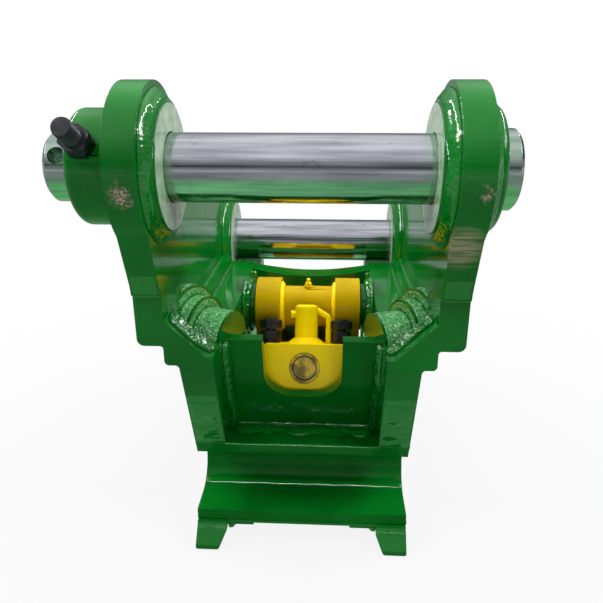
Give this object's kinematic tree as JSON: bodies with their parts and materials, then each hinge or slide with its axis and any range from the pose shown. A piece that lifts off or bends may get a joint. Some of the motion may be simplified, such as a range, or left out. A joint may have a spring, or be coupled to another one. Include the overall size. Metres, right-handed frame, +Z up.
{
  "type": "excavator quick coupler",
  "caption": "Hydraulic pin-grabber coupler: wide ears hold the stick and link pins, a narrow body has a fixed front jaw, and a swinging hook locks the rear bucket pin.",
  "frame": {"origin": "middle of the stick pin, on its axis", "axes": "+X along the pins to the right of the fixed jaw seen from its mouth, +Y back from the fixed jaw to the hook, +Z up"},
  "size_m": [0.531, 0.6804, 0.634],
  "materials": {
    "green_paint": "thick glossy green enamel over welded plate",
    "yellow_paint": "glossy yellow enamel",
    "ground_steel": "ground and hard chromed pin steel, fine turning lines",
    "black_oxide": "oiled black oxide",
    "bronze": "plain bearing bronze",
    "chrome_rod": "hard chrome",
    "seal_rubber": "polyurethane seal"
  },
  "bodies": {
    "frame": {"cylinder_lug_left": "green_paint", "cylinder_lug_right": "green_paint", "cylinder_pin": "ground_steel", "cylinder_pin_keepers": "green_paint", "ear_plate_left": "green_paint", "ear_plate_right": "green_paint", "front_gusset_left": "green_paint", "front_gusset_right": "green_paint", "front_plate": "green_paint", "jaw_saddle": "green_paint", "keel_plate": "green_paint", "keeper_bolts": "black_oxide", "link_boss_inner_left": "green_paint", "link_boss_inner_right": "green_paint", "link_boss_outer_left": "green_paint", "link_boss_outer_right": "green_paint", "link_pin": "ground_steel", "lip_blocks": "green_paint", "lock_bolts": "black_oxide", "lock_nuts": "black_oxide", "pivot_boss_left": "green_paint", "pivot_boss_right": "green_paint", "pivot_keepers": "green_paint", "pivot_pin": "ground_steel", "rear_cross_plate": "green_paint", "rear_tie_plate": "green_paint", "shoulder_plate_left": "green_paint", "shoulder_plate_right": "green_paint", "side_plate_left": "green_paint", "side_plate_right": "green_paint", "step_boss_left": "green_paint", "step_boss_right": "green_paint", "stick_boss_inner_left": "green_paint", "stick_boss_inner_right": "green_paint", "stick_boss_outer_left": "green_paint", "stick_boss_outer_right": "green_paint", "stick_pin": "ground_steel"},
    "hook": {"hook_arm_left": "yellow_paint", "hook_arm_right": "yellow_paint", "hook_tube": "yellow_paint", "hook_jaw_pad": "yellow_paint", "hook_web": "yellow_paint", "hook_bushes": "bronze", "grease_nipple": "yellow_paint", "rod_pin": "ground_steel", "rod_pin_rings": "black_oxide"},
    "cylinder": {"cylinder_base": "yellow_paint", "base_plug": "yellow_paint", "cylinder_barrel": "yellow_paint", "cylinder_gland": "black_oxide", "wiper_seal": "seal_rubber", "port_adapters": "black_oxide", "port_caps": "black_oxide", "valve_tower": "yellow_paint", "valve_plug": "yellow_paint", "pressure_pipe": "yellow_paint"},
    "rod": {"piston_rod": "chrome_rod", "piston": "ground_steel", "piston_seal": "seal_rubber", "rod_eye": "yellow_paint"}
  },
  "joints": [
    {"name": "hook_swing", "type": "hinge", "parent": "frame", "child": "hook", "pos_m": [0, 0.251, -0.263], "axis": [-1, 0, 0], "range_deg": [0, 22]},
    {"name": "cylinder_tilt", "type": "hinge", "parent": "frame", "child": "cylinder", "pos_m": [0, 0.142, -0.322], "axis": [-1, 0, 0], "range_deg": [0, 15.6]},
    {"name": "rod_slide", "type": "slide", "parent": "cylinder", "child": "rod", "axis": [0, 0.9326, -0.3609], "range_m": [-0.04, 0]}
  ],
  "couplings": [
    {"joint": "cylinder_tilt", "follows": "hook_swing", "ratio": 0.70669},
    {"joint": "rod_slide", "follows": "hook_swing", "m_per_rad": -0.10389}
  ]
}
